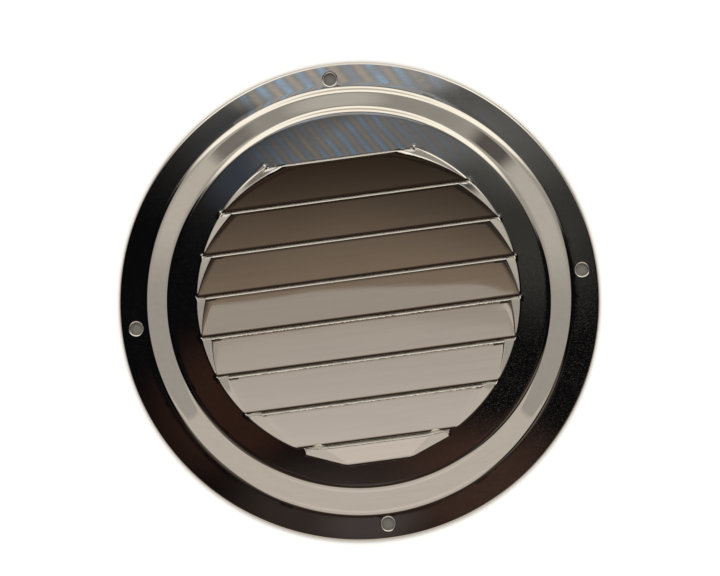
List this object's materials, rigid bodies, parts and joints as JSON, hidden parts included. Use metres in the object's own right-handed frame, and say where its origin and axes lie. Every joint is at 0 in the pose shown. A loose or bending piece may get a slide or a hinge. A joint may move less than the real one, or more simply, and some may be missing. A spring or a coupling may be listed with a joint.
{
  "type": "round vent cover",
  "caption": "Round pressed sheet-metal vent cover with a raised centre of lanced louvres and a flat screw flange.",
  "frame": {"origin": "centre of the cover on the plane of the flange's back face", "axes": "+Z out of the visible face, +Y the way the louvres open, +X along the louvres"},
  "size_m": [0.127, 0.127, 0.0077],
  "materials": {
    "polished_stainless": "mirror-polished stainless sheet with fine wiping scratches"
  },
  "bodies": {
    "root": {"louvred_cover": "polished_stainless"}
  },
  "joints": []
}
